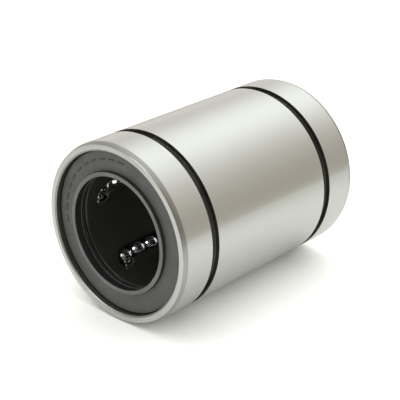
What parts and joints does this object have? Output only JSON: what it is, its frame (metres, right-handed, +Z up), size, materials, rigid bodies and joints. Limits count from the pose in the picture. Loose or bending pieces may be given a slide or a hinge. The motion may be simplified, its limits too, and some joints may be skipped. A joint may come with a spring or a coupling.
{
  "type": "linear ball bushing",
  "caption": "Sealed linear ball bushing: ground steel sleeve with two snap-ring grooves, rubber end seals and recirculating ball circuits in a resin retainer.",
  "frame": {"origin": "middle of the bore, which is also the middle of the outer box", "axes": "+Y along the bore axis towards the rear end, +Z up with the bushing lying on its side, +X to the right seen from the front end"},
  "size_m": [0.032, 0.045, 0.032],
  "materials": {
    "bearing_steel": "fine cylindrical grinding, satin",
    "ball_steel": "polished",
    "ring_steel": "stamped, lightly oiled",
    "seal_rubber": "matte, fine moulded grain",
    "retainer_resin": "moulded, semi-gloss"
  },
  "bodies": {
    "housing": {"outer_sleeve": "bearing_steel", "ball_retainer": "retainer_resin", "front_side_ring": "ring_steel", "rear_side_ring": "ring_steel", "front_seal": "seal_rubber", "rear_seal": "seal_rubber"},
    "circuit_1_load_row": {"circuit_1_load_ball_01": "ball_steel", "circuit_1_load_ball_02": "ball_steel", "circuit_1_load_ball_03": "ball_steel", "circuit_1_load_balls_mid": "ball_steel", "circuit_1_load_ball_06": "ball_steel", "circuit_1_load_ball_07": "ball_steel", "circuit_1_load_ball_08": "ball_steel"},
    "circuit_1_return_row": {"circuit_1_return_balls": "ball_steel"},
    "circuit_1_front_turn": {"circuit_1_front_turn_balls": "ball_steel"},
    "circuit_1_rear_turn": {"circuit_1_rear_turn_balls": "ball_steel"},
    "circuit_2_load_row": {"circuit_2_load_ball_01": "ball_steel", "circuit_2_load_ball_02": "ball_steel", "circuit_2_load_ball_03": "ball_steel", "circuit_2_load_balls_mid": "ball_steel", "circuit_2_load_ball_06": "ball_steel", "circuit_2_load_ball_07": "ball_steel", "circuit_2_load_ball_08": "ball_steel"},
    "circuit_2_return_row": {"circuit_2_return_balls": "ball_steel"},
    "circuit_2_front_turn": {"circuit_2_front_turn_balls": "ball_steel"},
    "circuit_2_rear_turn": {"circuit_2_rear_turn_balls": "ball_steel"},
    "circuit_3_load_row": {"circuit_3_load_ball_01": "ball_steel", "circuit_3_load_ball_02": "ball_steel", "circuit_3_load_ball_03": "ball_steel", "circuit_3_load_balls_mid": "ball_steel", "circuit_3_load_ball_06": "ball_steel", "circuit_3_load_ball_07": "ball_steel", "circuit_3_load_ball_08": "ball_steel"},
    "circuit_3_return_row": {"circuit_3_return_balls": "ball_steel"},
    "circuit_3_front_turn": {"circuit_3_front_turn_balls": "ball_steel"},
    "circuit_3_rear_turn": {"circuit_3_rear_turn_balls": "ball_steel"},
    "circuit_4_load_row": {"circuit_4_load_ball_01": "ball_steel", "circuit_4_load_ball_02": "ball_steel", "circuit_4_load_ball_03": "ball_steel", "circuit_4_load_balls_mid": "ball_steel", "circuit_4_load_ball_06": "ball_steel", "circuit_4_load_ball_07": "ball_steel", "circuit_4_load_ball_08": "ball_steel"},
    "circuit_4_return_row": {"circuit_4_return_balls": "ball_steel"},
    "circuit_4_front_turn": {"circuit_4_front_turn_balls": "ball_steel"},
    "circuit_4_rear_turn": {"circuit_4_rear_turn_balls": "ball_steel"},
    "circuit_5_load_row": {"circuit_5_load_ball_01": "ball_steel", "circuit_5_load_ball_02": "ball_steel", "circuit_5_load_ball_03": "ball_steel", "circuit_5_load_balls_mid": "ball_steel", "circuit_5_load_ball_06": "ball_steel", "circuit_5_load_ball_07": "ball_steel", "circuit_5_load_ball_08": "ball_steel"},
    "circuit_5_return_row": {"circuit_5_return_balls": "ball_steel"},
    "circuit_5_front_turn": {"circuit_5_front_turn_balls": "ball_steel"},
    "circuit_5_rear_turn": {"circuit_5_rear_turn_balls": "ball_steel"}
  },
  "joints": [
    {"name": "circuit_1_roll", "type": "slide", "parent": "housing", "child": "circuit_1_load_row", "axis": [0, 1, 0], "range_m": [-0.00208, 0.00118]},
    {"name": "circuit_1_return", "type": "slide", "parent": "housing", "child": "circuit_1_return_row", "axis": [0, 1, 0], "range_m": [-0.00118, 0.00208]},
    {"name": "circuit_1_front_turn", "type": "hinge", "parent": "housing", "child": "circuit_1_front_turn", "pos_m": [-0.00229, -0.01307, 0.01147], "axis": [0.0489, -0.2079, -0.9769], "range_deg": [-33.2, 58]},
    {"name": "circuit_1_rear_turn", "type": "hinge", "parent": "housing", "child": "circuit_1_rear_turn", "pos_m": [-0.00229, 0.01307, 0.01147], "axis": [0.0489, 0.2079, -0.9769], "range_deg": [-33.2, 58]},
    {"name": "circuit_2_roll", "type": "slide", "parent": "housing", "child": "circuit_2_load_row", "axis": [0, 1, 0], "range_m": [-0.00128, 0.00198]},
    {"name": "circuit_2_return", "type": "slide", "parent": "housing", "child": "circuit_2_return_row", "axis": [0, 1, 0], "range_m": [-0.00198, 0.00128]},
    {"name": "circuit_2_front_turn", "type": "hinge", "parent": "housing", "child": "circuit_2_front_turn", "pos_m": [0.0102, -0.01307, 0.00573], "axis": [-0.914, -0.2079, -0.3484], "range_deg": [-55.2, 36]},
    {"name": "circuit_2_rear_turn", "type": "hinge", "parent": "housing", "child": "circuit_2_rear_turn", "pos_m": [0.0102, 0.01307, 0.00573], "axis": [-0.914, 0.2079, -0.3484], "range_deg": [-55.2, 36]},
    {"name": "circuit_3_roll", "type": "slide", "parent": "housing", "child": "circuit_3_load_row", "axis": [0, 1, 0], "range_m": [-0.00183, 0.00143]},
    {"name": "circuit_3_return", "type": "slide", "parent": "housing", "child": "circuit_3_return_row", "axis": [0, 1, 0], "range_m": [-0.00143, 0.00183]},
    {"name": "circuit_3_front_turn", "type": "hinge", "parent": "housing", "child": "circuit_3_front_turn", "pos_m": [0.0086, -0.01307, -0.00793], "axis": [-0.6137, -0.2079, 0.7616], "range_deg": [-40.1, 51.1]},
    {"name": "circuit_3_rear_turn", "type": "hinge", "parent": "housing", "child": "circuit_3_rear_turn", "pos_m": [0.0086, 0.01307, -0.00793], "axis": [-0.6137, 0.2079, 0.7616], "range_deg": [-40.1, 51.1]},
    {"name": "circuit_4_roll", "type": "slide", "parent": "housing", "child": "circuit_4_load_row", "axis": [0, 1, 0], "range_m": [-0.00244, 0.00082]},
    {"name": "circuit_4_return", "type": "slide", "parent": "housing", "child": "circuit_4_return_row", "axis": [0, 1, 0], "range_m": [-0.00082, 0.00244]},
    {"name": "circuit_4_front_turn", "type": "hinge", "parent": "housing", "child": "circuit_4_front_turn", "pos_m": [-0.00489, -0.01307, -0.01063], "axis": [0.5347, -0.2079, 0.8191], "range_deg": [-23.3, 67.9]},
    {"name": "circuit_4_rear_turn", "type": "hinge", "parent": "housing", "child": "circuit_4_rear_turn", "pos_m": [-0.00489, 0.01307, -0.01063], "axis": [0.5347, 0.2079, 0.8191], "range_deg": [-23.3, 67.9]},
    {"name": "circuit_5_roll", "type": "slide", "parent": "housing", "child": "circuit_5_load_row", "axis": [0, 1, 0], "range_m": [-0.00166, 0.0016]},
    {"name": "circuit_5_return", "type": "slide", "parent": "housing", "child": "circuit_5_return_row", "axis": [0, 1, 0], "range_m": [-0.0016, 0.00166]},
    {"name": "circuit_5_front_turn", "type": "hinge", "parent": "housing", "child": "circuit_5_front_turn", "pos_m": [-0.01162, -0.01307, 0.00136], "axis": [0.9442, -0.2079, -0.2554], "range_deg": [-44.8, 46.4]},
    {"name": "circuit_5_rear_turn", "type": "hinge", "parent": "housing", "child": "circuit_5_rear_turn", "pos_m": [-0.01162, 0.01307, 0.00136], "axis": [0.9442, 0.2079, -0.2554], "range_deg": [-44.8, 46.4]}
  ],
  "couplings": [
    {"joint": "circuit_1_return", "follows": "circuit_1_roll", "ratio": -1},
    {"joint": "circuit_1_front_turn", "follows": "circuit_1_roll", "rad_per_m": -480.81},
    {"joint": "circuit_1_rear_turn", "follows": "circuit_1_roll", "rad_per_m": -480.81},
    {"joint": "circuit_2_return", "follows": "circuit_2_roll", "ratio": -1},
    {"joint": "circuit_2_front_turn", "follows": "circuit_2_roll", "rad_per_m": -480.81},
    {"joint": "circuit_2_rear_turn", "follows": "circuit_2_roll", "rad_per_m": -480.81},
    {"joint": "circuit_3_return", "follows": "circuit_3_roll", "ratio": -1},
    {"joint": "circuit_3_front_turn", "follows": "circuit_3_roll", "rad_per_m": -480.81},
    {"joint": "circuit_3_rear_turn", "follows": "circuit_3_roll", "rad_per_m": -480.81},
    {"joint": "circuit_4_return", "follows": "circuit_4_roll", "ratio": -1},
    {"joint": "circuit_4_front_turn", "follows": "circuit_4_roll", "rad_per_m": -480.81},
    {"joint": "circuit_4_rear_turn", "follows": "circuit_4_roll", "rad_per_m": -480.81},
    {"joint": "circuit_5_return", "follows": "circuit_5_roll", "ratio": -1},
    {"joint": "circuit_5_front_turn", "follows": "circuit_5_roll", "rad_per_m": -480.81},
    {"joint": "circuit_5_rear_turn", "follows": "circuit_5_roll", "rad_per_m": -480.81}
  ]
}
